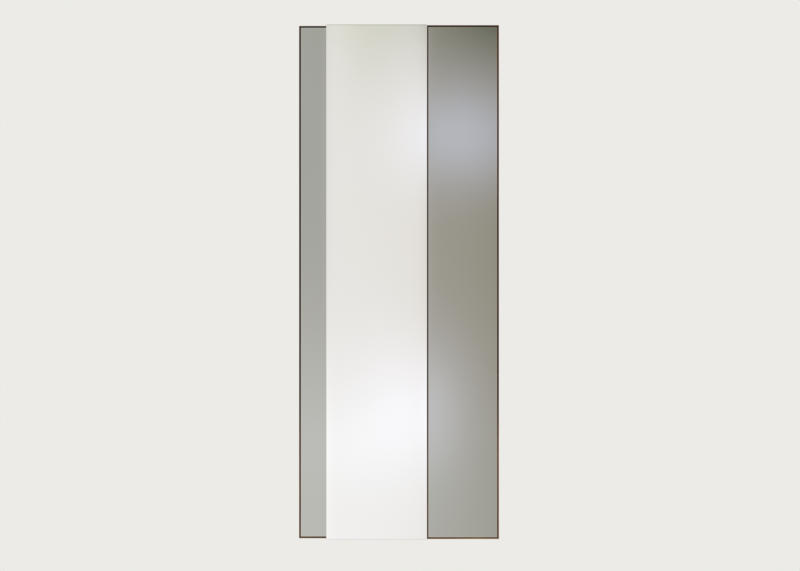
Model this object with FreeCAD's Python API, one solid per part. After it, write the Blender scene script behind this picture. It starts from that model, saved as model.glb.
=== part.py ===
import FreeCAD, Part
import os

# Wall mirror in three layers: a grey (smoked) mirror on the left, a second one on the
# right that stands forward of it on a riser board, both in a thin wooden surround, and
# a clear mirror in front of both on a board of its own.  The whole mirror hooks onto a
# bevelled cleat that is screwed to the wall and lifts up to come off.
#
# Frame: millimetres.  X = across the mirror, +X to the right as seen from the room.
# Y = 0 is the wall, the mirror faces -Y.  Z = up, Z = 0 is the wall cleat's screw line.

os.makedirs("parts", exist_ok=True)
V = FreeCAD.Vector

# ---------------------------------------------------------------- driving sizes
WIDTH = 701.0            # outside width of the surround
HEIGHT = 1800.0          # outside height of the surround and of the clear mirror
TOP_Z = 140.0            # top edge above the wall cleat's screw line
BOT_Z = TOP_Z - HEIGHT

LIP_W = 5.8              # face width of the wooden surround
LIP_PROUD = 0.5          # surround stands this far in front of the grey glass
LIP_R_OUT = 0.8          # rounding of the surround's outer front edge
LIP_R_IN = 0.4           # rounding of the surround's inner front edge

BUMPER_T = 2.0           # wall bumpers, which set the gap to the wall
BUMPER_R = 9.0
BATTEN_T = 12.0          # plywood battens round the back, and both cleats
BATTEN_W = 45.0
BASE_T = 12.0            # back board
TAPE_T = 1.0             # mirror tape and adhesive thickness
TAPE_W = 19.0
BEAD_W = 8.0             # width of a pressed adhesive bead
GREY_T = 4.0             # grey glass
RISER_T = 12.0           # board that holds the right grey mirror and the clear mirror forward
CARRIER_T = 15.0         # board that carries the clear mirror
EDGE_T = 1.0             # edge band on that board
CLEAR_T = 5.0            # clear glass

CLEAR_W = 351.8          # clear mirror's width
CLEAR_LEFT = -253.5      # its left edge
CLEAR_SETBACK = 6.0      # its board is this much smaller on every side
DIVIDER_SHOW = 4.7       # wood that shows between clear mirror and right grey mirror
LEFT_BEAD_W = 5.0        # hidden bead on the left edge of the riser board
GLASS_GAP = 0.25         # glass to wood, each side

ARRIS_CLEAR = 1.2        # ground edge of the clear mirror, front
ARRIS_GREY = 0.4         # ground edge of the grey mirrors, front
ARRIS_BACK = 0.5

# hanging cleats: two plywood strips with 45 degree bevels that hook together
WALL_CLEAT_L = 560.0
WALL_CLEAT_BOT = -25.0
WALL_HOLE_R = 2.75       # screw holes in the wall cleat, countersunk at the front
WALL_SINK_R = 5.5
WALL_HOLES_X = (-240.0, -80.0, 80.0, 240.0)
HANG_CLEAT_L = 520.0
HANG_CLEAT_H = 55.0
CLEAT_BLUNT = 1.5        # width of the flat on each bevel's tip
HANG_SCREWS_X = (-235.0, -145.0, -50.0, 50.0, 145.0, 235.0)

# screws: head radius, shank radius, length, tip length
SCREW_CARRIER = (3.9, 1.9, 35.0, 4.5)
SCREW_RISER = (3.9, 1.9, 21.0, 4.5)
SCREW_BATTEN = (3.4, 1.7, 21.0, 4.0)
SCREW_CLEAT = (3.9, 1.9, 21.5, 4.0)
SCREW_TIP_R = 0.3        # blunt end of a screw's point
HOLE_CLEAR = 0.05        # hole wall to screw or dowel

CARRIER_SCREWS_X = (-205.0, 50.0)
RISER_SCREWS_X = (150.0, 270.0)
CARRIER_SCREWS_Z = (-70.0, -440.0, -815.0, -1190.0, -1565.0)
DOWEL_R = 4.0
DOWELS_X = (-165.0, 10.0)
DOWELS_Z = (-160.0, -1450.0)
BATTEN_SCREWS_H = (-255.0, -85.0, 85.0, 255.0)
BATTEN_SCREWS_V = (50.0, -350.0, -750.0, -1150.0, -1570.0)

# ---------------------------------------------------------------- derived planes
HALF = WIDTH / 2.0
IN_X = HALF - LIP_W                      # inner faces of the surround
IN_TOP = TOP_Z - LIP_W
IN_BOT = BOT_Z + LIP_W

Y_BACK = -BUMPER_T                       # back of surround and battens
Y_BASE_BACK = Y_BACK - BATTEN_T
Y_BASE = Y_BASE_BACK - BASE_T            # front of the back board
Y_GREY_BACK = Y_BASE - TAPE_T            # left grey mirror
Y_GREY = Y_GREY_BACK - GREY_T
Y_LIP = Y_GREY - LIP_PROUD               # front of the surround round it
Y_RISER = Y_BASE - RISER_T               # front of the riser board
Y_RGREY_BACK = Y_RISER - TAPE_T          # right grey mirror
Y_RGREY = Y_RGREY_BACK - GREY_T
Y_RLIP = Y_RGREY - LIP_PROUD             # front of the surround round it
Y_CARRIER = Y_RISER - CARRIER_T
Y_CLEAR_BACK = Y_CARRIER - TAPE_T
Y_CLEAR = Y_CLEAR_BACK - CLEAR_T         # foremost face

CLEAR_RIGHT = CLEAR_LEFT + CLEAR_W
CAR_X0 = CLEAR_LEFT + CLEAR_SETBACK
CAR_X1 = CLEAR_RIGHT - CLEAR_SETBACK
CAR_Z0 = BOT_Z + CLEAR_SETBACK
CAR_Z1 = TOP_Z - CLEAR_SETBACK
DIV_X1 = CLEAR_RIGHT + DIVIDER_SHOW      # right face of the visible divider
LBEAD_X0 = CAR_X0 - LEFT_BEAD_W          # left side of the forward block, where the rails step

HANG_TOP = IN_TOP - BATTEN_W             # hanging cleat sits right under the top batten
HANG_TIP = HANG_TOP - HANG_CLEAT_H       # sharp tip of its bevel, before blunting
BEVEL_Z = HANG_TIP + Y_BACK              # the shared 45 degree plane is z = BEVEL_Z - y


# ---------------------------------------------------------------- helpers
def box(x0, x1, y0, y1, z0, z1):
    return Part.makeBox(x1 - x0, y1 - y0, z1 - z0, V(x0, y0, z0))


def edges_where(shape, test):
    return [e for e in shape.Edges if len(e.Vertexes) == 2 and all(test(v.Point) for v in e.Vertexes)]


def near(a, b):
    return abs(a - b) < 1e-6


def prism(points, direction):
    return Part.Face(Part.makePolygon(points + [points[0]])).extrude(direction)


def screw(x, z, y_head, size, recess=True, grow=0.0):
    """Countersunk screw driven towards -Y, its head flush at y_head."""
    rh, rs, length, tip = size
    top = y_head + (0.6 if grow else 0.0)
    flat = y_head - 0.35
    rh, rs = rh + grow, rs + grow
    pts = [V(0, top, 0), V(rh, top, 0), V(rh, flat, 0), V(rs, flat - (rh - rs), 0),
           V(rs, y_head - length + tip, 0), V(SCREW_TIP_R, y_head - length, 0), V(0, y_head - length, 0)]
    if grow:                             # hole: straight to its full depth
        pts[4:] = [V(rs, y_head - length - 2 * grow, 0), V(0, y_head - length - 2 * grow, 0)]
    s = Part.Face(Part.makePolygon(pts + [pts[0]])).revolve(V(0, 0, 0), V(0, 1, 0), 360)
    s = Part.Solid(s) if s.ShapeType == "Shell" else s
    if recess:
        r = rh * 0.62
        a = box(-r, r, y_head - 1.3, y_head + 1, -0.5, 0.5)
        b = box(-0.5, 0.5, y_head - 1.3, y_head + 1, -r, r)
        s = s.cut(a.fuse(b))
        s = s.Solids[0]
    s.translate(V(x, 0, z))
    return s


def cyl_y(x, z, r, y0, y1):
    return Part.makeCylinder(r, y1 - y0, V(x, y0, z), V(0, 1, 0))


def pane(x0, x1, y0, y1, z0, z1, front, back):
    """Sheet of glass with its edges ground front and back."""
    s = box(x0, x1, y0, y1, z0, z1)
    s = s.makeChamfer(front, edges_where(s, lambda p: near(p.y, y0)))
    return s.makeChamfer(back, edges_where(s, lambda p: near(p.y, y1)))


def stadium(xc, w, y0, y1, z0, z1):
    """Pressed bead: flat strip with round ends, standing along Z."""
    r = w / 2.0
    s = box(xc - r, xc + r, y0, y1, z0 + r, z1 - r)
    for z in (z0 + r, z1 - r):
        s = s.fuse(cyl_y(xc, z, r, y0, y1))
    return s.removeSplitter().Solids[0]


def cut_all(shape, tools):
    s = shape.cut(Part.makeCompound(tools))
    assert len(s.Solids) == 1
    return s.Solids[0]


nodes = {}


def add(name, shape):
    nodes[name] = shape


# ---------------------------------------------------------------- wooden surround
def lip(x0, x1, y0, z0, z1, outer, inner, corners):
    """One strip of the surround, rounded along its front edges, mitred at the corners."""
    s = box(x0, x1, y0, Y_BACK, z0, z1)
    s = s.makeFillet(LIP_R_OUT, edges_where(s, lambda p: near(p.y, y0) and outer(p)))
    s = s.makeFillet(LIP_R_IN, edges_where(s, lambda p: near(p.y, y0) and inner(p)))
    cutter = prism([V(cx, y0 - 1, cz) for cx, cz in corners], V(0, Y_BACK - y0 + 2, 0))
    return s.common(cutter).Solids[0]


add("frame_left_stile", lip(-HALF, -IN_X, Y_LIP, BOT_Z, TOP_Z,
    lambda p: near(p.x, -HALF), lambda p: near(p.x, -IN_X),
    [(-HALF, BOT_Z), (-HALF, TOP_Z), (-IN_X, IN_TOP), (-IN_X, IN_BOT)]))
add("frame_right_stile", lip(IN_X, HALF, Y_RLIP, BOT_Z, TOP_Z,
    lambda p: near(p.x, HALF), lambda p: near(p.x, IN_X),
    [(HALF, BOT_Z), (HALF, TOP_Z), (IN_X, IN_TOP), (IN_X, IN_BOT)]))
add("frame_top_rail_left", lip(-HALF, LBEAD_X0, Y_LIP, IN_TOP, TOP_Z,
    lambda p: near(p.z, TOP_Z), lambda p: near(p.z, IN_TOP),
    [(-HALF, TOP_Z), (LBEAD_X0, TOP_Z), (LBEAD_X0, IN_TOP), (-IN_X, IN_TOP)]))
add("frame_top_rail_right", lip(LBEAD_X0, HALF, Y_RLIP, IN_TOP, TOP_Z,
    lambda p: near(p.z, TOP_Z), lambda p: near(p.z, IN_TOP),
    [(LBEAD_X0, TOP_Z), (HALF, TOP_Z), (IN_X, IN_TOP), (LBEAD_X0, IN_TOP)]))
add("frame_bottom_rail_left", lip(-HALF, LBEAD_X0, Y_LIP, BOT_Z, IN_BOT,
    lambda p: near(p.z, BOT_Z), lambda p: near(p.z, IN_BOT),
    [(-HALF, BOT_Z), (LBEAD_X0, BOT_Z), (LBEAD_X0, IN_BOT), (-IN_X, IN_BOT)]))
add("frame_bottom_rail_right", lip(LBEAD_X0, HALF, Y_RLIP, BOT_Z, IN_BOT,
    lambda p: near(p.z, BOT_Z), lambda p: near(p.z, IN_BOT),
    [(LBEAD_X0, BOT_Z), (HALF, BOT_Z), (IN_X, IN_BOT), (LBEAD_X0, IN_BOT)]))

# the right bead stands on the riser board and shows as the dark divider; the left one covers the riser's edge
b = box(CAR_X1, DIV_X1, Y_RLIP, Y_RISER, IN_BOT, IN_TOP)
add("right_inner_bead", b.makeFillet(LIP_R_IN, edges_where(b, lambda p: near(p.y, Y_RLIP) and near(p.x, DIV_X1))))
b = box(LBEAD_X0, CAR_X0, Y_RISER, Y_BASE, IN_BOT, IN_TOP)
add("left_inner_bead", b.makeFillet(LIP_R_IN, edges_where(b, lambda p: near(p.y, Y_RISER) and near(p.x, LBEAD_X0))))

# ---------------------------------------------------------------- fasteners
carrier_screw_at = [(x, z) for z in CARRIER_SCREWS_Z for x in CARRIER_SCREWS_X]
riser_screw_at = [(x, z) for z in CARRIER_SCREWS_Z for x in RISER_SCREWS_X]
zt = IN_TOP - BATTEN_W / 2.0
zb = IN_BOT + BATTEN_W / 2.0
xl = -IN_X + BATTEN_W / 2.0
batten_at = {
    "back_batten_top": [(x, zt) for x in BATTEN_SCREWS_H],
    "back_batten_bottom": [(x, zb) for x in BATTEN_SCREWS_H],
    "back_batten_left": [(xl, z) for z in BATTEN_SCREWS_V],
    "back_batten_right": [(-xl, z) for z in BATTEN_SCREWS_V],
}
dowel_at = [(x, z) for z in DOWELS_Z for x in DOWELS_X]
cleat_screw_at = [(x, HANG_TOP - HANG_CLEAT_H * 0.42) for x in HANG_SCREWS_X]
DOWEL_Y0, DOWEL_Y1 = Y_RISER - 10.0, Y_BASE + 8.0

carrier_holes = [screw(x, z, Y_BASE_BACK, SCREW_CARRIER, False, HOLE_CLEAR) for x, z in carrier_screw_at]
riser_holes = [screw(x, z, Y_BASE_BACK, SCREW_RISER, False, HOLE_CLEAR) for x, z in riser_screw_at]
cleat_holes = [screw(x, z, Y_BACK, SCREW_CLEAT, False, HOLE_CLEAR) for x, z in cleat_screw_at]
batten_holes = {n: [screw(x, z, Y_BACK, SCREW_BATTEN, False, HOLE_CLEAR) for x, z in at] for n, at in batten_at.items()}
dowel_holes = [cyl_y(x, z, DOWEL_R + HOLE_CLEAR, DOWEL_Y0 - 0.5, DOWEL_Y1 + 0.5) for x, z in dowel_at]

add("carrier_screws", Part.makeCompound([screw(x, z, Y_BASE_BACK, SCREW_CARRIER) for x, z in carrier_screw_at]))
add("riser_screws", Part.makeCompound([screw(x, z, Y_BASE_BACK, SCREW_RISER) for x, z in riser_screw_at]))
add("hanging_cleat_screws", Part.makeCompound([screw(x, z, Y_BACK, SCREW_CLEAT) for x, z in cleat_screw_at]))
add("batten_screws", Part.makeCompound([screw(x, z, Y_BACK, SCREW_BATTEN) for at in batten_at.values() for x, z in at]))


def dowel(x, z):
    s = cyl_y(x, z, DOWEL_R, DOWEL_Y0, DOWEL_Y1)
    return s.makeChamfer(0.8, [e for e in s.Edges if len(e.Vertexes) == 1 and e.Length > 5])


add("carrier_dowels", Part.makeCompound([dowel(x, z) for x, z in dowel_at]))

# ---------------------------------------------------------------- boards
base = box(-IN_X, IN_X, Y_BASE, Y_BASE_BACK, IN_BOT, IN_TOP)
add("base_board", cut_all(base, carrier_holes + riser_holes + cleat_holes + dowel_holes + [h for hs in batten_holes.values() for h in hs]))

riser = box(CAR_X0, IN_X, Y_RISER, Y_BASE, IN_BOT, IN_TOP)
add("riser_board", cut_all(riser, carrier_holes + riser_holes + dowel_holes))

carrier = box(CAR_X0 + EDGE_T, CAR_X1 - EDGE_T, Y_CARRIER, Y_RISER, CAR_Z0 + EDGE_T, CAR_Z1 - EDGE_T)
add("carrier_board", cut_all(carrier, carrier_holes + dowel_holes))
add("carrier_edge_left", box(CAR_X0, CAR_X0 + EDGE_T, Y_CARRIER, Y_RISER, CAR_Z0, CAR_Z1))
add("carrier_edge_right", box(CAR_X1 - EDGE_T, CAR_X1, Y_CARRIER, Y_RISER, CAR_Z0, CAR_Z1))
add("carrier_edge_top", box(CAR_X0 + EDGE_T, CAR_X1 - EDGE_T, Y_CARRIER, Y_RISER, CAR_Z1 - EDGE_T, CAR_Z1))
add("carrier_edge_bottom", box(CAR_X0 + EDGE_T, CAR_X1 - EDGE_T, Y_CARRIER, Y_RISER, CAR_Z0, CAR_Z0 + EDGE_T))


def batten(name, x0, x1, z0, z1, inner):
    s = box(x0, x1, Y_BASE_BACK, Y_BACK, z0, z1)
    s = s.makeChamfer(1.0, edges_where(s, lambda p: near(p.y, Y_BACK) and inner(p)))
    add(name, cut_all(s, batten_holes[name]))


batten("back_batten_top", -IN_X, IN_X, IN_TOP - BATTEN_W, IN_TOP, lambda p: near(p.z, IN_TOP - BATTEN_W))
batten("back_batten_bottom", -IN_X, IN_X, IN_BOT, IN_BOT + BATTEN_W, lambda p: near(p.z, IN_BOT + BATTEN_W))
batten("back_batten_left", -IN_X, -IN_X + BATTEN_W, IN_BOT + BATTEN_W, IN_TOP - BATTEN_W, lambda p: near(p.x, -IN_X + BATTEN_W))
batten("back_batten_right", IN_X - BATTEN_W, IN_X, IN_BOT + BATTEN_W, IN_TOP - BATTEN_W, lambda p: near(p.x, IN_X - BATTEN_W))

# ---------------------------------------------------------------- glass
GL_X0, GL_X1 = -IN_X + GLASS_GAP, LBEAD_X0 - GLASS_GAP
GR_X0, GR_X1 = DIV_X1 + GLASS_GAP, IN_X - GLASS_GAP
G_Z0, G_Z1 = IN_BOT + GLASS_GAP, IN_TOP - GLASS_GAP
add("grey_mirror_left", pane(GL_X0, GL_X1, Y_GREY, Y_GREY_BACK, G_Z0, G_Z1, ARRIS_GREY, ARRIS_BACK))
add("grey_mirror_right", pane(GR_X0, GR_X1, Y_RGREY, Y_RGREY_BACK, G_Z0, G_Z1, ARRIS_GREY, ARRIS_BACK))
add("clear_mirror", pane(CLEAR_LEFT, CLEAR_RIGHT, Y_CLEAR, Y_CLEAR_BACK, BOT_Z, TOP_Z, ARRIS_CLEAR, ARRIS_BACK))


# ---------------------------------------------------------------- tape and adhesive behind the glass
def bonding(name, x0, x1, y0, y1, z0, z1, strips):
    """Upright tape strips shared out over the width, with an adhesive bead between each two."""
    w = x1 - x0
    inset = 8.0
    pitch = (w - 2 * inset - TAPE_W) / (strips - 1)
    centres = [x0 + inset + TAPE_W / 2.0 + i * pitch for i in range(strips)]
    add(name + "_tape", Part.makeCompound(
        [box(c - TAPE_W / 2.0, c + TAPE_W / 2.0, y0, y1, z0 + 20, z1 - 20) for c in centres]))
    mids = [(a + b_) / 2.0 for a, b_ in zip(centres, centres[1:])]
    add(name + "_adhesive", Part.makeCompound([stadium(m, BEAD_W, y0, y1, z0 + 45, z1 - 45) for m in mids]))


bonding("grey_mirror_left", GL_X0, GL_X1, Y_GREY_BACK, Y_BASE, G_Z0, G_Z1, 2)
bonding("grey_mirror_right", GR_X0, GR_X1, Y_RGREY_BACK, Y_RISER, G_Z0, G_Z1, 4)
bonding("clear_mirror", CAR_X0, CAR_X1, Y_CLEAR_BACK, Y_CARRIER, CAR_Z0, CAR_Z1, 5)


# ---------------------------------------------------------------- wall cleat and hanging cleat
def cleat(points, length):
    return prism([V(-length / 2.0, y, z) for y, z in points], V(length, 0, 0))


def sunk_hole(x, y_front, y_back):
    """Screw hole along Y at z = 0, countersunk on the room side."""
    h = cyl_y(x, 0.0, WALL_HOLE_R, y_front - 1, y_back + 1)
    depth = WALL_SINK_R - WALL_HOLE_R
    return h.fuse(Part.makeCone(WALL_SINK_R + 1, WALL_HOLE_R, depth + 1, V(x, y_front - 1, 0), V(0, 1, 0)))


wy = -BATTEN_T                           # front of the wall cleat
tip = BEVEL_Z - wy - CLEAT_BLUNT
wall = cleat([(0, WALL_CLEAT_BOT), (0, BEVEL_Z), (wy + CLEAT_BLUNT, tip), (wy, tip), (wy, WALL_CLEAT_BOT)], WALL_CLEAT_L)
add("wall_cleat", cut_all(wall, [sunk_hole(x, wy, 0.0) for x in WALL_HOLES_X]))

low = HANG_TIP + CLEAT_BLUNT
hang = cleat([(Y_BACK, HANG_TOP), (Y_BACK, low), (Y_BACK - CLEAT_BLUNT, low), (Y_BASE_BACK, BEVEL_Z - Y_BASE_BACK), (Y_BASE_BACK, HANG_TOP)], HANG_CLEAT_L)
add("hanging_cleat", cut_all(hang, cleat_holes))


# ---------------------------------------------------------------- wall bumpers
def bumper(x, z):
    s = cyl_y(x, z, BUMPER_R, Y_BACK, 0.0)
    return s.makeFillet(0.7, [e for e in s.Edges if len(e.Vertexes) == 1 and near(e.Vertexes[0].Point.y, 0.0)])


bumper_at = [(sx * 318.0, z) for z in (zt, -840.0, zb) for sx in (-1, 1)]
add("wall_bumpers", Part.makeCompound([bumper(x, z) for x, z in bumper_at]))

# ---------------------------------------------------------------- write the pieces
for name, shape in nodes.items():
    for s in shape.Solids:
        assert s.isValid() and s.Volume > 0, name
    shape.exportStep("parts/" + name + ".step")
print(len(nodes), "pieces;", sum(len(s.Solids) for s in nodes.values()), "solids")
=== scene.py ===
import math

import bmesh
import bpy
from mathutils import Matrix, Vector


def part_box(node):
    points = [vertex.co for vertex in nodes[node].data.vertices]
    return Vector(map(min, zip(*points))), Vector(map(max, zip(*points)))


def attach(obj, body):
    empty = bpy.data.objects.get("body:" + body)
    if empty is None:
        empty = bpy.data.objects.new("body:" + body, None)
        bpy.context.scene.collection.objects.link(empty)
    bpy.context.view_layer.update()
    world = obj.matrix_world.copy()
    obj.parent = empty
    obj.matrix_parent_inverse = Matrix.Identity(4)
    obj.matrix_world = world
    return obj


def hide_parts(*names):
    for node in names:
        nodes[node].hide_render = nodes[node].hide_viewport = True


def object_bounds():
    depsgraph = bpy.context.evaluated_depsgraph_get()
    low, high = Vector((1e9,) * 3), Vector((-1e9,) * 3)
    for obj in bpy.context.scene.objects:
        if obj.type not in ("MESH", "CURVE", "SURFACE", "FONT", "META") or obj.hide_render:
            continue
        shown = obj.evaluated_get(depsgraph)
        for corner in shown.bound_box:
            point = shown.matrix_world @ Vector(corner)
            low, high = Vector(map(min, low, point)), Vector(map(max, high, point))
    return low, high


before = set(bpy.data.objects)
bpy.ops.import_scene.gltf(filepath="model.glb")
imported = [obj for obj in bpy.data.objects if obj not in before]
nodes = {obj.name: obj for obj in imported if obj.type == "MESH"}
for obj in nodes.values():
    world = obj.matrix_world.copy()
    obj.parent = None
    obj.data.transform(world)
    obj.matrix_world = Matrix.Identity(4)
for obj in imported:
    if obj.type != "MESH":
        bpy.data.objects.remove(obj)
cad_lo, cad_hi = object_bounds()
scene = bpy.context.scene

# ------------------------------------------------------------------ sizes, metres
MM = 0.001
VIEW_DISTANCE = 3.900        # camera to the front of the right pane's surround
PIXEL = 3.5026 * MM          # size of one picture pixel at that plane
IMG_W, IMG_H = 800.0, 571.0
FOCAL_PX = VIEW_DISTANCE / PIXEL


# ------------------------------------------------------------------ node helpers
def put(nt, node, name, value):
    """Sets an input by name or index, or links a socket into it."""
    socket = node.inputs[name]
    if isinstance(value, bpy.types.NodeSocket):
        nt.links.new(value, socket)
    else:
        socket.default_value = value


def math_node(nt, op, *args, clamp=False):
    n = nt.nodes.new("ShaderNodeMath")
    n.operation = op
    n.use_clamp = clamp
    for i, a in enumerate(args):
        put(nt, n, i, a)
    return n.outputs[0]


def add(nt, a, b): return math_node(nt, "ADD", a, b)
def sub(nt, a, b): return math_node(nt, "SUBTRACT", a, b)
def mul(nt, a, b): return math_node(nt, "MULTIPLY", a, b)
def div(nt, a, b): return math_node(nt, "DIVIDE", a, b)


def remap(nt, value, a0, a1, b0, b1, kind="SMOOTHSTEP"):
    n = nt.nodes.new("ShaderNodeMapRange")
    n.interpolation_type = kind
    put(nt, n, 0, value)
    for i, v in enumerate((a0, a1, b0, b1), 1):
        put(nt, n, i, v)
    return n.outputs[0]


def noise(nt, vector, scale, detail=2.0, rough=0.5, distortion=0.0):
    n = nt.nodes.new("ShaderNodeTexNoise")
    put(nt, n, "Vector", vector)
    put(nt, n, "Scale", scale)
    put(nt, n, "Detail", detail)
    put(nt, n, "Roughness", rough)
    put(nt, n, "Distortion", distortion)
    return n.outputs["Fac"]


def stretch(nt, vector, scale, location=(0, 0, 0)):
    n = nt.nodes.new("ShaderNodeMapping")
    put(nt, n, "Vector", vector)
    put(nt, n, "Scale", scale)
    put(nt, n, "Location", location)
    return n.outputs[0]


def ramp(nt, value, *stops):
    n = nt.nodes.new("ShaderNodeValToRGB")
    r = n.color_ramp
    while len(r.elements) < len(stops):
        r.elements.new(0.5)
    for e, (pos, col) in zip(r.elements, stops):
        e.position = pos
        e.color = (*col, 1.0)
    put(nt, n, 0, value)
    return n.outputs[0]


def mix(nt, fac, a, b, blend="MIX"):
    n = nt.nodes.new("ShaderNodeMix")
    n.data_type = "RGBA"
    n.blend_type = blend
    put(nt, n, 0, fac)
    for i, v in ((6, a), (7, b)):
        put(nt, n, i, (*v, 1.0) if isinstance(v, tuple) and len(v) == 3 else v)
    return n.outputs[2]


def bump(nt, height, distance, strength=1.0):
    n = nt.nodes.new("ShaderNodeBump")
    put(nt, n, "Height", height)
    put(nt, n, "Distance", distance)
    put(nt, n, "Strength", strength)
    return n.outputs[0]


def material(name):
    m = bpy.data.materials.new(name)
    m.use_nodes = True
    nt = m.node_tree
    nt.nodes.clear()
    out = nt.nodes.new("ShaderNodeOutputMaterial")
    bsdf = nt.nodes.new("ShaderNodeBsdfPrincipled")
    nt.links.new(bsdf.outputs[0], out.inputs[0])
    coords = nt.nodes.new("ShaderNodeTexCoord")
    return m, nt, bsdf, coords


def srgb(r, g, b):
    return tuple(((c / 255 + 0.055) / 1.055) ** 2.4 if c > 10 else c / 255 / 12.92 for c in (r, g, b))


# ------------------------------------------------------------------ materials
SURROUND_X = cad_hi.x                                            # outer face of the surround


def walnut(name, node, along, first, *changes):
    """Dark stained walnut with a matt oil finish; the grain runs along the given axis. Its tone multiplier,
    which holds the wood's own tone together with painted light and shade, is first at the mirror's top or left end,
    and each change gives the next one and the stretch over which it comes in."""
    m, nt, bsdf, tc = material(name)
    front, back = (corner.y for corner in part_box(node))
    p = tc.outputs["Object"]
    g = stretch(nt, p, {"X": (0.03, 1, 1), "Z": (1, 1, 0.03)}[along])
    wander = noise(nt, stretch(nt, p, {"X": (0.6, 6, 6), "Z": (6, 6, 0.6)}[along]), 3.0, 3.0, 0.55)
    bands = noise(nt, g, 190.0, 3.0, 0.50, 0.9)
    figure = noise(nt, g, 52.0, 2.0, 0.5, 0.4)
    tone = add(nt, mul(nt, bands, 0.55), add(nt, mul(nt, figure, 0.40), mul(nt, wander, 0.25)))
    col = ramp(nt, tone, (0.34, srgb(41, 20, 7)), (0.54, srgb(62, 33, 11)), (0.70, srgb(81, 46, 17)), (0.86, srgb(108, 66, 31)))
    # painted light and shade: the tone multiplier drifts along the piece, giving darker and paler stretches on top of
    # the wood's own tone
    split = nt.nodes.new("ShaderNodeSeparateXYZ")
    put(nt, split, 0, p)
    x, y, z = split.outputs
    place = {"X": remap(nt, x, cad_lo.x, cad_hi.x, 0.0, 1.0, "LINEAR"), "Z": remap(nt, z, cad_hi.z, cad_lo.z, 0.0, 1.0, "LINEAR")}[along]
    place = add(nt, place, mul(nt, sub(nt, wander, 0.5), 0.25))
    tone_and_painted_light = first
    for then, (start, end) in changes:
        tone_and_painted_light = mix(nt, remap(nt, place, start, end, 0.0, 1.0), tone_and_painted_light, then)
    col = mix(nt, 1.0, col, tone_and_painted_light, "MULTIPLY")
    # open pores: short dark dashes along the grain
    pores = noise(nt, stretch(nt, p, {"X": (0.055, 1, 1), "Z": (1, 1, 0.055)}[along]), 2400.0, 2.0, 0.55)
    pit = remap(nt, pores, 0.57, 0.66, 0.0, 1.0)
    col = mix(nt, mul(nt, pit, 0.50), col, srgb(24, 13, 7))
    # outer arrises of the surround, rubbed paler in places, and the fine dark line of its mitres
    side = sub(nt, SURROUND_X, math_node(nt, "ABSOLUTE", x))
    ends = math_node(nt, "MINIMUM", sub(nt, cad_hi.z, z), sub(nt, z, cad_lo.z))
    faces = math_node(nt, "MINIMUM", sub(nt, y, front), sub(nt, back, y))
    edge = math_node(nt, "MAXIMUM", faces, math_node(nt, "MINIMUM", side, ends))
    rubbed = mul(nt, remap(nt, edge, 0.3 * MM, 1.1 * MM, 1.0, 0.0), remap(nt, noise(nt, p, 38.0, 3.0, 0.6), 0.42, 0.62, 0.15, 0.55))
    col = mix(nt, rubbed, col, mix(nt, 1.0, col, (1.75, 1.70, 1.65), "MULTIPLY"))
    mitre = remap(nt, math_node(nt, "ABSOLUTE", sub(nt, side, ends)), 0.08 * MM, 0.25 * MM, 1.0, 0.0)
    mitre = mul(nt, mitre, remap(nt, side, 5.0 * MM, 6.0 * MM, 1.0, 0.0, "LINEAR"))
    col = mix(nt, mul(nt, mitre, 0.8), col, srgb(16, 9, 5))
    put(nt, bsdf, "Base Color", col)
    put(nt, bsdf, "Roughness", add(nt, 0.52, add(nt, mul(nt, pit, 0.20), mul(nt, figure, 0.12))))
    put(nt, bsdf, "Normal", bump(nt, sub(nt, mul(nt, bands, 0.35), add(nt, pit, mitre)), 0.00010, 0.5))
    bsdf.inputs["Specular IOR Level"].default_value = 0.06
    return m


def fibreboard(name, dark, light):
    """Sanded fibreboard: fine felted flecks and slow cloudy variation."""
    m, nt, bsdf, tc = material(name)
    p = tc.outputs["Object"]
    fleck = noise(nt, p, 900.0, 4.0, 0.7)
    strand = noise(nt, stretch(nt, p, (1, 1, 0.3)), 260.0, 3.0, 0.6, 1.2)
    cloud = noise(nt, p, 5.0, 3.0, 0.55)
    scuff = noise(nt, stretch(nt, p, (1, 1, 0.05)), 35.0, 4.0, 0.6)
    tone = add(nt, add(nt, mul(nt, fleck, 0.42), mul(nt, strand, 0.30)), add(nt, mul(nt, cloud, 0.24), mul(nt, scuff, 0.10)))
    col = ramp(nt, tone, (0.38, dark), (0.52, tuple((a + b) / 2 for a, b in zip(dark, light))), (0.68, light))
    put(nt, bsdf, "Base Color", col)
    put(nt, bsdf, "Roughness", add(nt, 0.70, mul(nt, fleck, 0.22)))
    put(nt, bsdf, "Normal", bump(nt, add(nt, fleck, mul(nt, strand, 0.6)), 0.00012, 0.6))
    bsdf.inputs["Specular IOR Level"].default_value = 0.3
    return m


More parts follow.
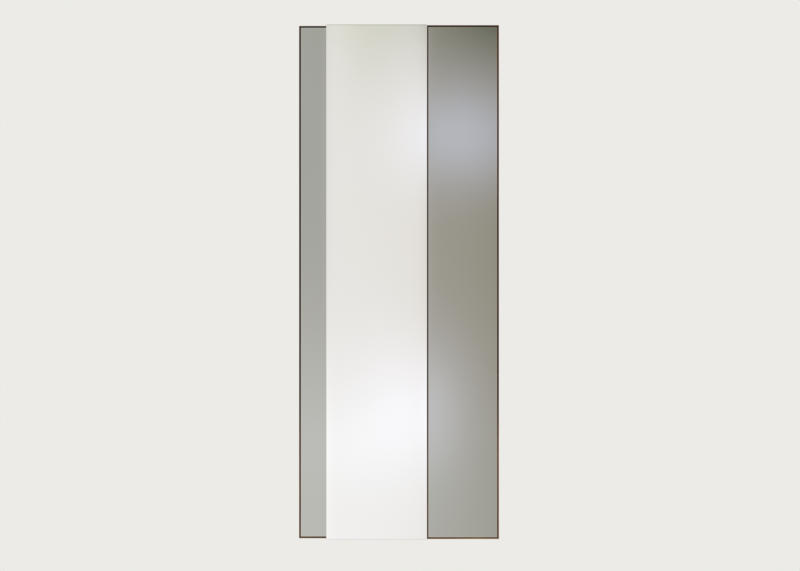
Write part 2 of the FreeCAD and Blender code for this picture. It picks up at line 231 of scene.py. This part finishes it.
def plywood(name, along):
    """Birch plywood: veneer grain on its faces, stacked plies on every cut edge."""
    m, nt, bsdf, tc = material(name)
    p = tc.outputs["Object"]
    g = stretch(nt, p, {"X": (0.05, 1, 1), "Z": (1, 1, 0.05)}[along])
    grain = noise(nt, g, 210.0, 4.0, 0.6, 0.5)
    flame = noise(nt, stretch(nt, p, {"X": (0.25, 1, 1.0), "Z": (1.0, 1, 0.25)}[along]), 14.0, 3.0, 0.55, 1.4)
    fine = noise(nt, stretch(nt, p, {"X": (0.02, 1, 1), "Z": (1, 1, 0.02)}[along]), 1400.0, 2.0, 0.6)
    tone = add(nt, mul(nt, grain, 0.40), add(nt, mul(nt, flame, 0.42), mul(nt, fine, 0.22)))
    face = ramp(nt, tone, (0.36, srgb(181, 143, 100)), (0.52, srgb(206, 171, 126)), (0.70, srgb(222, 192, 150)))
    # cut edges: plies 1.33 mm thick, every second one end grain
    split = nt.nodes.new("ShaderNodeSeparateXYZ")
    put(nt, split, 0, p)
    wobble = mul(nt, noise(nt, p, 60.0, 2.0), 0.10)
    phase = math_node(nt, "FRACT", add(nt, mul(nt, split.outputs[1], 375.0), wobble))
    ply = remap(nt, math_node(nt, "PINGPONG", add(nt, phase, 0.25), 0.5), 0.21, 0.29, 0.0, 1.0)
    speck = noise(nt, p, 1800.0, 2.0, 0.6)
    end_grain = ramp(nt, speck, (0.35, srgb(104, 73, 47)), (0.65, srgb(150, 112, 75)))
    long_grain = ramp(nt, speck, (0.35, srgb(186, 148, 105)), (0.65, srgb(214, 180, 136)))
    edge = mix(nt, ply, end_grain, long_grain)
    n = nt.nodes.new("ShaderNodeSeparateXYZ")
    put(nt, n, 0, tc.outputs["Normal"])
    flat = remap(nt, math_node(nt, "ABSOLUTE", n.outputs[1]), 0.93, 0.97, 0.0, 1.0)
    put(nt, bsdf, "Base Color", mix(nt, flat, edge, face))
    put(nt, bsdf, "Roughness", add(nt, 0.55, mul(nt, grain, 0.22)))
    put(nt, bsdf, "Normal", bump(nt, add(nt, grain, mul(nt, fine, 0.7)), 0.00010, 0.5))
    bsdf.inputs["Specular IOR Level"].default_value = 0.35
    return m


def silvered(name, node, tint, haze, rim, edge_reflection_tone):
    """Silvered face behind glass: a clean mirror with the faintest dust bloom and tint drift, and a
    rim of another tone, a painted reflection of the ground edge seen through the glass; rim is its width and strength
    at the top, bottom and sides."""
    m, nt, bsdf, tc = material(name)
    p = tc.outputs["Object"]
    lo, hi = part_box(node)
    drift = noise(nt, p, 2.2, 2.0, 0.5)
    dust = noise(nt, p, 420.0, 3.0, 0.65)
    amount = add(nt, mul(nt, sub(nt, drift, 0.5), 0.020), mul(nt, sub(nt, dust, 0.5), haze))
    low = tuple(c * 0.97 for c in tint)
    high = tuple(min(1.0, c * 1.03) for c in tint)
    col = ramp(nt, add(nt, amount, 0.5), (0.0, tuple(c * 0.6 for c in tint)), (0.45, low), (0.55, high), (1.0, tuple(min(1.0, c * 1.3) for c in tint)))
    split = nt.nodes.new("ShaderNodeSeparateXYZ")
    put(nt, split, 0, p)
    # painted reflection: the band along each edge is tinted by the rim tone, standing in for the ground edge seen
    # through the glass
    (top_w, top), (bottom_w, bottom), (side_w, side) = rim
    edge = remap(nt, split.outputs[2], hi.z - top_w, hi.z - top_w * 0.7, 0.0, top)
    edge = math_node(nt, "MAXIMUM", edge, remap(nt, split.outputs[2], lo.z + bottom_w, lo.z + bottom_w * 0.7, 0.0, bottom))
    edge = math_node(nt, "MAXIMUM", edge, remap(nt, split.outputs[0], lo.x + side_w, lo.x + side_w * 0.7, 0.0, side))
    edge = math_node(nt, "MAXIMUM", edge, remap(nt, split.outputs[0], hi.x - side_w, hi.x - side_w * 0.7, 0.0, side))
    col = mix(nt, edge, col, tuple(c * edge_reflection_tone for c in tint))
    put(nt, bsdf, "Base Color", col)
    put(nt, bsdf, "Roughness", add(nt, 0.004, mul(nt, remap(nt, dust, 0.62, 0.80, 0.0, 1.0), 0.012)))
    bsdf.inputs["Metallic"].default_value = 1.0
    return m


def glass_edge(name, deep, bright, y_front, y_back):
    """Polished edge of the sheet: colour deepens through the thickness, with fine polishing lines."""
    m, nt, bsdf, tc = material(name)
    p = tc.outputs["Object"]
    split = nt.nodes.new("ShaderNodeSeparateXYZ")
    put(nt, split, 0, p)
    through = remap(nt, split.outputs[1], y_front, y_back, 0.0, 1.0, "LINEAR")
    lines = noise(nt, stretch(nt, p, (6.0, 600.0, 6.0)), 3.0, 3.0, 0.6)
    cloud = noise(nt, p, 30.0, 2.0)
    t = add(nt, through, add(nt, mul(nt, sub(nt, lines, 0.5), 0.35), mul(nt, sub(nt, cloud, 0.5), 0.2)))
    col = ramp(nt, t, (0.0, bright), (0.35, tuple((a + b) / 2 for a, b in zip(deep, bright))), (0.75, deep), (1.0, tuple(c * 0.6 for c in deep)))
    put(nt, bsdf, "Base Color", col)
    put(nt, bsdf, "Roughness", add(nt, 0.05, mul(nt, lines, 0.10)))
    bsdf.inputs["IOR"].default_value = 1.52
    bsdf.inputs["Coat Weight"].default_value = 0.6
    bsdf.inputs["Coat Roughness"].default_value = 0.03
    return m


def backing_paint(name):
    """Grey protective paint on the back of the silvering."""
    m, nt, bsdf, tc = material(name)
    p = tc.outputs["Object"]
    peel = noise(nt, p, 700.0, 2.0, 0.5)
    drift = noise(nt, p, 9.0, 3.0)
    put(nt, bsdf, "Base Color", ramp(nt, add(nt, mul(nt, peel, 0.4), mul(nt, drift, 0.6)), (0.35, srgb(88, 94, 92)), (0.65, srgb(112, 119, 116))))
    put(nt, bsdf, "Roughness", add(nt, 0.42, mul(nt, drift, 0.2)))
    return m


def zinc(name):
    """Zinc-plated screw, slightly cloudy."""
    m, nt, bsdf, tc = material(name)
    p = tc.outputs["Object"]
    cloud = noise(nt, p, 260.0, 3.0, 0.6)
    turn = noise(nt, stretch(nt, p, (1, 8, 1)), 900.0, 2.0, 0.5)
    put(nt, bsdf, "Base Color", ramp(nt, cloud, (0.30, srgb(172, 166, 152)), (0.55, srgb(200, 196, 186)), (0.75, srgb(218, 216, 210))))
    put(nt, bsdf, "Roughness", add(nt, 0.26, mul(nt, turn, 0.20)))
    put(nt, bsdf, "Normal", bump(nt, turn, 0.00004, 0.4))
    bsdf.inputs["Metallic"].default_value = 1.0
    return m


def soft_plastic(name, dark, light, rough, grain, pressed=False):
    """Rubber, foam tape or cured adhesive, with its own fine texture; one pressed between two
    pieces has an even surface."""
    m, nt, bsdf, tc = material(name)
    p = tc.outputs["Object"]
    cell = noise(nt, p, grain, 3.0, 0.6)
    cloud = noise(nt, p, 40.0, 2.0)
    put(nt, bsdf, "Base Color", ramp(nt, add(nt, mul(nt, cell, 0.6), mul(nt, cloud, 0.4)), (0.35, dark), (0.65, light)))
    if pressed:
        bsdf.inputs["Roughness"].default_value = rough
    else:
        put(nt, bsdf, "Roughness", add(nt, rough, mul(nt, cell, 0.15)))
        put(nt, bsdf, "Normal", bump(nt, cell, 0.00008, 0.5))
    return m


def beech(name):
    """Beech dowel, grain along its length (Y)."""
    m, nt, bsdf, tc = material(name)
    p = tc.outputs["Object"]
    grain = noise(nt, stretch(nt, p, (1, 0.08, 1)), 700.0, 4.0, 0.6)
    fleck = remap(nt, noise(nt, stretch(nt, p, (1, 0.25, 1)), 900.0, 1.0), 0.60, 0.70, 0.0, 1.0)
    col = ramp(nt, grain, (0.35, srgb(176, 128, 88)), (0.65, srgb(206, 162, 118)))
    put(nt, bsdf, "Base Color", mix(nt, mul(nt, fleck, 0.4), col, srgb(140, 96, 62)))
    put(nt, bsdf, "Roughness", add(nt, 0.55, mul(nt, grain, 0.15)))
    put(nt, bsdf, "Normal", bump(nt, grain, 0.00008, 0.5))
    return m


WHOLE = (0.0, 1.0)
# painted light and shade: these tones make lit and shaded copies of one walnut, darker along the top rails and the
# upper and middle stiles, paler along the bottom rails and the lower ends, and darker on the upper divider bead where
# the raised clear pane shades it; their common level is the wood's own tone
TOP_TONE_PAINTED_SHADE = (0.80, 0.88, 1.15), ((0.90, 0.88, 1.05), WHOLE)
BOTTOM_TONE_PAINTED_LIGHT = (1.80, 2.45, 4.10), ((2.90, 4.40, 7.40), WHOLE)
WALNUT_TOP_LEFT = walnut("walnut_top_left", "frame_top_rail_left", "X", *TOP_TONE_PAINTED_SHADE)
WALNUT_TOP_RIGHT = walnut("walnut_top_right", "frame_top_rail_right", "X", *TOP_TONE_PAINTED_SHADE)
WALNUT_BOTTOM_LEFT = walnut("walnut_bottom_left", "frame_bottom_rail_left", "X", *BOTTOM_TONE_PAINTED_LIGHT)
WALNUT_BOTTOM_RIGHT = walnut("walnut_bottom_right", "frame_bottom_rail_right", "X", *BOTTOM_TONE_PAINTED_LIGHT)
WALNUT_LEFT = walnut("walnut_left", "frame_left_stile", "Z", (1.00, 0.96, 1.20), ((0.70, 0.70, 0.75), (0.12, 0.24)), ((2.40, 3.00, 4.80), (0.60, 0.97)))
WALNUT_RIGHT = walnut("walnut_right", "frame_right_stile", "Z", (1.35, 1.55, 2.10), ((0.98, 0.78, 0.85), (0.15, 0.60)), ((2.75, 3.50, 5.60), (0.70, 0.94)))
WALNUT_DIVIDER = walnut("walnut_divider", "right_inner_bead", "Z", (1.10, 1.10, 1.30), ((2.40, 2.90, 4.20), (0.60, 0.97)))
WALNUT_V = walnut("walnut_upright", "left_inner_bead", "Z", (1.00, 1.15, 1.55), ((1.80, 2.25, 3.50), WHOLE))
WALNUT_H = walnut("walnut_level", "carrier_edge_top", "X", (1.20, 1.40, 2.00), ((1.40, 1.70, 2.50), WHOLE))
BOARD = fibreboard("fibreboard", srgb(122, 91, 62), srgb(176, 141, 103))
PLY_V = plywood("birch_ply_upright", "Z")
PLY_H = plywood("birch_ply_level", "X")
CLEAR_TINT = (0.805, 0.800, 0.792)
GREY_TINT = (0.4143, 0.4191, 0.3944)
# painted reflection: a darker band along the clear pane's edges, widest at the top and bottom; the grey panes get a
# paler painted band all round
CLEAR = silvered("clear_silvering", "clear_mirror", CLEAR_TINT, 0.012, ((6.5 * MM, 0.26), (6.0 * MM, 0.14), (1.6 * MM, 0.06)), 0.55)
GREY_EDGE_REFLECTION = ((3.2 * MM, 0.5),) * 3
GREY_LEFT = silvered("grey_silvering_left", "grey_mirror_left", GREY_TINT, 0.020, GREY_EDGE_REFLECTION, 1.25)
GREY_RIGHT = silvered("grey_silvering_right", "grey_mirror_right", GREY_TINT, 0.020, GREY_EDGE_REFLECTION, 1.25)
PAINT = backing_paint("mirror_back_paint")
ZINC = zinc("zinc_plate")
RUBBER = soft_plastic("black_rubber", srgb(26, 26, 27), srgb(46, 46, 47), 0.60, 900.0)
TAPE = soft_plastic("foam_tape", srgb(206, 206, 200), srgb(232, 232, 227), 0.77, 1200.0, pressed=True)
SILICONE = soft_plastic("neutral_adhesive", srgb(178, 180, 178), srgb(204, 206, 203), 0.37, 200.0, pressed=True)
BEECH = beech("beech_dowel")

FINISH = {
    "frame_left_stile": WALNUT_LEFT, "frame_right_stile": WALNUT_RIGHT,
    "frame_top_rail_left": WALNUT_TOP_LEFT, "frame_top_rail_right": WALNUT_TOP_RIGHT,
    "frame_bottom_rail_left": WALNUT_BOTTOM_LEFT, "frame_bottom_rail_right": WALNUT_BOTTOM_RIGHT,
    "left_inner_bead": WALNUT_V, "right_inner_bead": WALNUT_DIVIDER,
    "carrier_edge_left": WALNUT_V, "carrier_edge_right": WALNUT_V,
    "carrier_edge_top": WALNUT_H, "carrier_edge_bottom": WALNUT_H,
    "base_board": BOARD, "riser_board": BOARD, "carrier_board": BOARD,
    "back_batten_left": PLY_V, "back_batten_right": PLY_V,
    "back_batten_top": PLY_H, "back_batten_bottom": PLY_H,
    "wall_cleat": PLY_H, "hanging_cleat": PLY_H,
    "batten_screws": ZINC, "riser_screws": ZINC, "carrier_screws": ZINC, "hanging_cleat_screws": ZINC,
    "carrier_dowels": BEECH, "wall_bumpers": RUBBER,
    "grey_mirror_left_tape": TAPE, "grey_mirror_right_tape": TAPE, "clear_mirror_tape": TAPE,
    "grey_mirror_left_adhesive": SILICONE, "grey_mirror_right_adhesive": SILICONE, "clear_mirror_adhesive": SILICONE,
}
for name, mat in FINISH.items():
    o = nodes[name]
    o.data.materials.clear()
    o.data.materials.append(mat)


# ------------------------------------------------------------------ glass panes
def ring(x0, x1, z0, z1, inset, corner, steps):
    """Outline of a pane, its corners rounded, shrunk evenly by inset."""
    pts = []
    r = corner - inset
    for cx, cz, a0 in ((x1 - corner, z1 - corner, 0), (x0 + corner, z1 - corner, 90), (x0 + corner, z0 + corner, 180), (x1 - corner, z0 + corner, 270)):
        for i in range(steps + 1):
            a = math.radians(a0 + 90.0 * i / steps)
            pts.append((cx + r * math.cos(a), cz + r * math.sin(a)))
    return pts


def pane(name, node, front_arris, back_arris, corner, mats):
    """A sheet of mirror: silvered front, ground and polished edges, painted back."""
    lo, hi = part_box(node)
    levels = ((lo.y, front_arris), (lo.y + front_arris, 0.0), (hi.y - back_arris, 0.0), (hi.y, back_arris))
    bm = bmesh.new()
    rings = [[bm.verts.new((x, y, z)) for x, z in ring(lo.x, hi.x, lo.z, hi.z, inset, corner, 4)] for y, inset in levels]
    count = len(rings[0])
    face = bm.faces.new(rings[0])
    face.material_index = 0
    for k, slot in ((0, 1), (1, 2), (2, 2)):
        for i in range(count):
            j = (i + 1) % count
            f = bm.faces.new((rings[k][i], rings[k + 1][i], rings[k + 1][j], rings[k][j]))
            f.material_index = slot
    face = bm.faces.new(list(reversed(rings[3])))
    face.material_index = 3
    bmesh.ops.recalc_face_normals(bm, faces=bm.faces)
    for f in bm.faces:
        f.smooth = True
    for k in range(4):
        for i in range(count):
            e = bm.edges.get((rings[k][i], rings[k][(i + 1) % count]))
            e.smooth = False
    me = bpy.data.meshes.new(name)
    bm.to_mesh(me)
    bm.free()
    for m in mats:
        me.materials.append(m)
    o = bpy.data.objects.new(name, me)
    scene.collection.objects.link(o)
    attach(o, "mirror")
    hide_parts(node)
    return o


def pane_materials(label, node, silver, deep, bright):
    lo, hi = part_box(node)
    edge = glass_edge(label + "_edge", deep, bright, lo.y, hi.y)
    return [silver, silver, edge, PAINT]


pane("clear_pane", "clear_mirror", 1.2 * MM, 0.5 * MM, 2.2 * MM,
     pane_materials("clear_glass", "clear_mirror", CLEAR, srgb(92, 128, 118), srgb(186, 208, 200)))
for side, silver in (("left", GREY_LEFT), ("right", GREY_RIGHT)):
    pane("grey_pane_" + side, "grey_mirror_" + side, 0.4 * MM, 0.5 * MM, 0.8 * MM,
         pane_materials("grey_glass_" + side, "grey_mirror_" + side, silver, srgb(50, 52, 50), srgb(96, 98, 94)))

# ------------------------------------------------------------------ studio
BACKDROP = srgb(236, 235, 231)
surround_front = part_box("frame_right_stile")[0].y
mid_x = (cad_lo.x + cad_hi.x) / 2
mid_z = (cad_lo.z + cad_hi.z) / 2
# the mirror's middle is at pixel (398.84, 282.08); the lens axis is at the picture's middle
EYE = Vector((mid_x + (IMG_W / 2 - 398.84) * PIXEL, surround_front - VIEW_DISTANCE, mid_z - (IMG_H / 2 - 282.08) * PIXEL))

# surroundings: a plain pale wall behind the mirror, and a pale room with a floor in front of it
world = bpy.data.worlds.new("studio")
scene.world = world
world.use_nodes = True
nt = world.node_tree
nt.nodes.clear()
w_out = nt.nodes.new("ShaderNodeOutputWorld")
w_bg = nt.nodes.new("ShaderNodeBackground")
nt.links.new(w_bg.outputs[0], w_out.inputs[0])
split = nt.nodes.new("ShaderNodeSeparateXYZ")
put(nt, split, 0, nt.nodes.new("ShaderNodeTexCoord").outputs["Generated"])
dx, dy, dz = split.outputs
toward = mul(nt, dy, -1.0)                       # 1 straight out into the room
below = remap(nt, dz, -0.190, -0.206, 0.0, 1.0)
floor_tone = ramp(nt, remap(nt, dz, -0.19, -0.95, 0.0, 1.0, "LINEAR"), (0.0, srgb(206, 204, 199)), (0.4, srgb(217, 215, 210)), (1.0, srgb(226, 224, 220)))
wall_tone = ramp(nt, remap(nt, dz, -0.20, 0.85, 0.0, 1.0, "LINEAR"), (0.0, srgb(229, 228, 225)), (0.35, srgb(240, 239, 236)), (1.0, srgb(252, 252, 251)))
across = ramp(nt, remap(nt, dx, -1.0, 1.0, 0.0, 1.0, "LINEAR"), (0.0, (0.86, 0.86, 0.87)), (0.22, (1.04, 1.04, 1.05)), (0.5, (1.0, 1.0, 1.0)), (0.78, (0.80, 0.79, 0.775)), (1.0, (0.90, 0.90, 0.89)))
room = mix(nt, 1.0, mix(nt, below, wall_tone, floor_tone), across, "MULTIPLY")
put(nt, w_bg, "Color", mix(nt, remap(nt, toward, 0.05, 0.55, 0.0, 1.0), BACKDROP, room))
w_bg.inputs["Strength"].default_value = 1.0


# soft lights on the far wall of the studio, met only by what the panes reflect
def plate(name, corners):
    b = bmesh.new()
    b.faces.new([b.verts.new(c) for c in corners])
    data = bpy.data.meshes.new(name)
    b.to_mesh(data)
    b.free()
    o = bpy.data.objects.new(name, data)
    scene.collection.objects.link(o)
    return o


FAR = 7.0
REACH = VIEW_DISTANCE + FAR + surround_front      # eye to mirror to far wall
far_wall = plate("far_wall", [(x, -FAR, z) for x, z in ((-4.2, -5.6), (4.2, -5.6), (4.2, 4.4), (-4.2, 4.4))])
m = bpy.data.materials.new("far_wall_light")
m.use_nodes = True
nt = m.node_tree
nt.nodes.clear()
split = nt.nodes.new("ShaderNodeSeparateXYZ")
put(nt, split, 0, nt.nodes.new("ShaderNodeTexCoord").outputs["Object"])
u = div(nt, sub(nt, split.outputs[0], EYE.x), REACH)
w = div(nt, sub(nt, split.outputs[2], EYE.z), REACH)


def glow(u0, su, w0, sw):
    a = math_node(nt, "POWER", div(nt, sub(nt, u, u0), su), 2.0)
    b = math_node(nt, "POWER", div(nt, sub(nt, w, w0), sw), 2.0)
    return math_node(nt, "EXPONENT", mul(nt, add(nt, a, b), -1.0))


def step(value, centre, width):
    """Soft step from 0 to 1."""
    t = div(nt, sub(nt, value, centre), 2.0 * width)
    return add(nt, mul(nt, math_node(nt, "TANH", t), 0.5), 0.5)


past = step(u, 0.0247, 0.0031)                    # beyond the line between the clear and the right pane
left = sub(nt, 1.0, step(u, -0.0656, 0.0031))     # short of the clear pane
rise = math_node(nt, "TANH", div(nt, add(nt, w, 0.0705), -0.0593))
side_rise = mul(nt, left, math_node(nt, "TANH", div(nt, add(nt, w, 0.0383), -0.0769)))
wash = glow(-0.0539, 0.0678, -0.1426, 0.0359)
right_dim = step(u, 0.0898, 0.0381)
flag = mul(nt, past, math_node(nt, "EXPONENT", mul(nt, math_node(nt, "POWER", div(nt, sub(nt, w, 0.1666), 0.3319), 2.0), -1.0)))
scrim = sub(nt, 1.0, past)
corner = mul(nt, glow(0.1410, 0.1168, 0.2744, 0.0632), sub(nt, 1.0, mul(nt, scrim, 0.158)))
shade = mul(nt, glow(-0.0283, 0.0327, 0.2626, 0.1257), scrim)
ceiling = step(w, 0.2219, 0.0072)
lamp_high = mul(nt, glow(0.0574, 0.0647, 0.1353, 0.0463), sub(nt, 1.0, mul(nt, scrim, 0.595)))
lamp_low = mul(nt, glow(0.0071, 0.0481, -0.1103, 0.0611), sub(nt, 1.0, mul(nt, scrim, 0.686)))
channels = nt.nodes.new("ShaderNodeCombineXYZ")
for i, (base, lift, side, washed, dim, flagged, dark, shaded, top, high, low) in enumerate((
    (1.0458, 0.0449, 0.1034, 0.0388, 0.397, 0.180, 0.970, 0.117, 0.012, 0.376, 0.387),
    (1.0345, 0.0531, 0.0921, 0.0538, 0.438, 0.205, 0.878, 0.098, 0.002, 0.427, 0.392),
    (1.0216, 0.0689, 0.0831, 0.0622, 0.547, 0.247, 0.901, 0.146, 0.049, 0.672, 0.558),
)):
    v = add(nt, mul(nt, rise, lift), base)
    v = add(nt, v, add(nt, mul(nt, side_rise, side), mul(nt, wash, washed)))
    for shape, amount in ((right_dim, dim), (flag, flagged), (corner, dark), (shade, shaded), (ceiling, top)):
        v = mul(nt, v, sub(nt, 1.0, mul(nt, shape, amount)))
    put(nt, channels, i, add(nt, v, add(nt, mul(nt, lamp_high, high), mul(nt, lamp_low, low))))
shine = nt.nodes.new("ShaderNodeEmission")
put(nt, shine, "Color", channels.outputs[0])
clear = nt.nodes.new("ShaderNodeBsdfTransparent")
rim = mul(nt, remap(nt, math_node(nt, "ABSOLUTE", u), 0.14, 0.34, 1.0, 0.0), remap(nt, math_node(nt, "ABSOLUTE", w), 0.27, 0.42, 1.0, 0.0))
blend = nt.nodes.new("ShaderNodeMixShader")
put(nt, blend, 0, rim)
nt.links.new(clear.outputs[0], blend.inputs[1])
nt.links.new(shine.outputs[0], blend.inputs[2])
nt.links.new(blend.outputs[0], nt.nodes.new("ShaderNodeOutputMaterial").inputs[0])
far_wall.data.materials.append(m)
for flag_name in ("visible_camera", "visible_diffuse", "visible_transmission", "visible_volume_scatter", "visible_shadow"):
    setattr(far_wall, flag_name, False)

# plain pale floor that fades into the backdrop
FLOOR_Z = cad_lo.z - 0.390
FLOOR_MID, FLOOR_R = (0.0, -1.05), 2.08
floor = plate("floor", [(FLOOR_MID[0] + FLOOR_R * math.cos(math.radians(i * 5)), FLOOR_MID[1] + FLOOR_R * math.sin(math.radians(i * 5)), FLOOR_Z) for i in range(72)])
m, nt, bsdf, tc = material("pale_floor")
p = tc.outputs["Object"]
put(nt, bsdf, "Base Color", ramp(nt, noise(nt, p, 5.0, 4.0, 0.6), (0.3, srgb(230, 229, 225)), (0.7, srgb(234, 233, 229))))
put(nt, bsdf, "Roughness", add(nt, 0.60, mul(nt, noise(nt, p, 40.0, 3.0), 0.2)))
split = nt.nodes.new("ShaderNodeSeparateXYZ")
put(nt, split, 0, p)
far = math_node(nt, "SQRT", add(nt, math_node(nt, "POWER", sub(nt, split.outputs[0], FLOOR_MID[0]), 2.0), math_node(nt, "POWER", sub(nt, split.outputs[1], FLOOR_MID[1]), 2.0)))
put(nt, bsdf, "Alpha", remap(nt, far, 1.05, FLOOR_R, 1.0, 0.0))
floor.data.materials.append(m)
floor.visible_glossy = False


def softbox(name, place, target, size, power):
    data = bpy.data.lights.new(name, "AREA")
    data.shape = "RECTANGLE"
    data.size, data.size_y = size
    data.energy = power
    o = bpy.data.objects.new(name, data)
    o.location = place
    o.rotation_mode = "QUATERNION"
    o.rotation_quaternion = (Vector(target) - Vector(place)).to_track_quat("-Z", "Y")
    o.visible_camera = False
    o.visible_glossy = False
    scene.collection.objects.link(o)


softbox("key_softbox", (-2.2, -2.4, 1.4), (0, 0, -0.7), (1.6, 2.0), 12.0)
softbox("back_softbox", (1.8, 2.4, 1.2), (0, 0, -0.7), (1.8, 1.8), 30.0)

# ------------------------------------------------------------------ camera
cam_data = bpy.data.cameras.new("camera")
cam_data.sensor_fit = "HORIZONTAL"
cam_data.sensor_width = 36.0
cam_data.lens = 36.0 * FOCAL_PX / IMG_W
cam = bpy.data.objects.new("camera", cam_data)
cam.location = EYE
cam.rotation_euler = (math.radians(90), 0, 0)
scene.collection.objects.link(cam)
scene.camera = cam
scene.view_settings.view_transform = "Standard"
scene.view_settings.look = "None"
